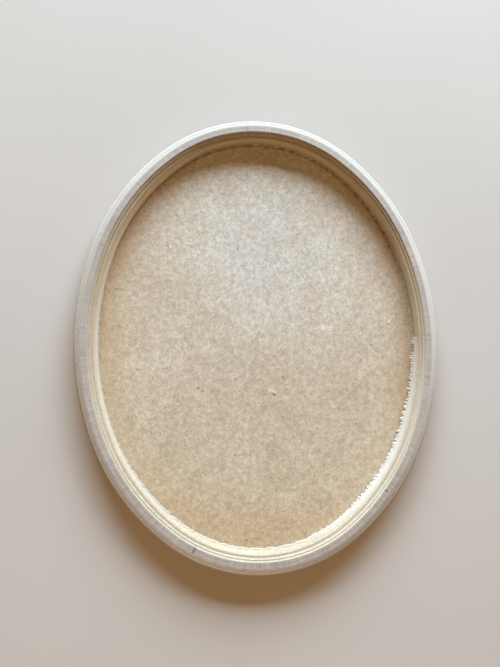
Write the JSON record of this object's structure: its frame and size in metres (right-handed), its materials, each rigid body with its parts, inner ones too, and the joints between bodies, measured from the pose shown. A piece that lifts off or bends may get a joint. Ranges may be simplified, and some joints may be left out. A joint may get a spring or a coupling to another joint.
{
  "type": "bodhran",
  "caption": "Shallow oval frame drum: a bevelled, laminated hoop with a stepped moulding round its open back, and a flat skin tacked over the far edge.",
  "frame": {"origin": "under the middle of the oval, on the outer face of the skin, which is the lowest face", "axes": "+Z out of the open back, at right angles to the skin; +Y along the oval's long axis; +X towards the moulding's butt joint"},
  "size_m": [0.363, 0.4536, 0.0162],
  "materials": {
    "hoop_wood": "matte, bare and sanded",
    "moulding_wood": "matte, bare and cut clean",
    "bead_wood": "matte, furry along its edge",
    "pin_steel": "dull",
    "skin": "matte, mottled rawhide",
    "trim": "satin",
    "tack_brass": "aged"
  },
  "bodies": {
    "root": {"outer_ply": "hoop_wood", "second_ply": "hoop_wood", "third_ply": "hoop_wood", "inner_ply": "hoop_wood", "moulding_strip": "moulding_wood", "edge_bead": "bead_wood", "joint_pins": "pin_steel", "head_skin": "skin", "trim_band": "trim", "tacks": "tack_brass"}
  },
  "joints": []
}
